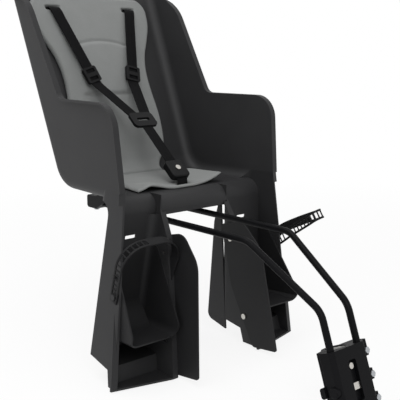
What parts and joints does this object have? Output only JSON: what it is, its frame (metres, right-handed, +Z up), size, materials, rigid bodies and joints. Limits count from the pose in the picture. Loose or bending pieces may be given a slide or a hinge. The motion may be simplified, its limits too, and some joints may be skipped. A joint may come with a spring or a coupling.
{
  "type": "child bicycle seat",
  "caption": "Rear child seat for a bicycle: moulded bucket shell with leg channels, foam pad, webbing harness, height-adjustable footrests, and a bent rod fork to a seat-tube clamp block.",
  "frame": {"origin": "centre of the seat-tube bore in the clamp block", "axes": "+X forward along the bicycle, +Y to the child's left, +Z up; the bore leans back by 20 degrees from +Z"},
  "size_m": [0.8069, 0.4622, 0.7435],
  "materials": {
    "moulded_shell": "fine moulded texture, satin",
    "foam_pad": "closed-cell foam, matt",
    "webbing": "woven polyester",
    "harness_plastic": "moulded, satin",
    "rivet_metal": "zinc plated",
    "footrest_plastic": "moulded, satin",
    "strap_rubber": "moulded elastomer",
    "rod_steel": "black powder coat",
    "bracket_plastic": "moulded, satin",
    "zinc_bolts": "zinc plated",
    "block_plastic": "moulded, satin",
    "liner_rubber": "soft insert, matt"
  },
  "bodies": {
    "seat": {"seat_shell": "moulded_shell", "seat_pad": "foam_pad", "shoulder_strap_left": "webbing", "shoulder_strap_right": "webbing", "crotch_strap": "webbing", "strap_adjuster_left": "harness_plastic", "strap_adjuster_right": "harness_plastic", "harness_ring": "harness_plastic", "crotch_buckle": "harness_plastic", "strap_anchor_left": "harness_plastic", "strap_anchor_right": "harness_plastic", "crotch_anchor": "harness_plastic", "buckle_rivet": "rivet_metal", "spoke_guard_rivets": "rivet_metal", "lock_screw": "rivet_metal", "spoke_guard_left": "footrest_plastic", "spoke_guard_right": "footrest_plastic", "foot_strap_left": "strap_rubber", "foot_strap_right": "strap_rubber", "fork_rod_left": "rod_steel", "fork_rod_right": "rod_steel", "front_fork_bracket": "bracket_plastic", "rear_fork_bracket": "bracket_plastic", "bracket_bolts": "zinc_bolts", "rod_set_screws": "zinc_bolts", "clamp_bolts": "zinc_bolts", "clamp_nuts": "zinc_bolts", "mount_block": "block_plastic", "mount_clamp": "block_plastic", "clamp_liner_front": "liner_rubber", "clamp_liner_rear": "liner_rubber"},
    "footrest_left_body": {"footrest_left": "footrest_plastic"},
    "footrest_right_body": {"footrest_right": "footrest_plastic"},
    "release": {"release_button": "block_plastic", "lock_plate": "rivet_metal"}
  },
  "joints": [
    {"name": "footrest_left_height", "type": "slide", "parent": "seat", "child": "footrest_left_body", "axis": [0.1109, -0.0989, 0.9889], "range_m": [0, 0.05]},
    {"name": "footrest_right_height", "type": "slide", "parent": "seat", "child": "footrest_right_body", "axis": [0.1109, 0.0989, 0.9889], "range_m": [0, 0.05]},
    {"name": "release_press", "type": "slide", "parent": "seat", "child": "release", "axis": [0, 1, 0], "range_m": [0, 0.004]}
  ]
}
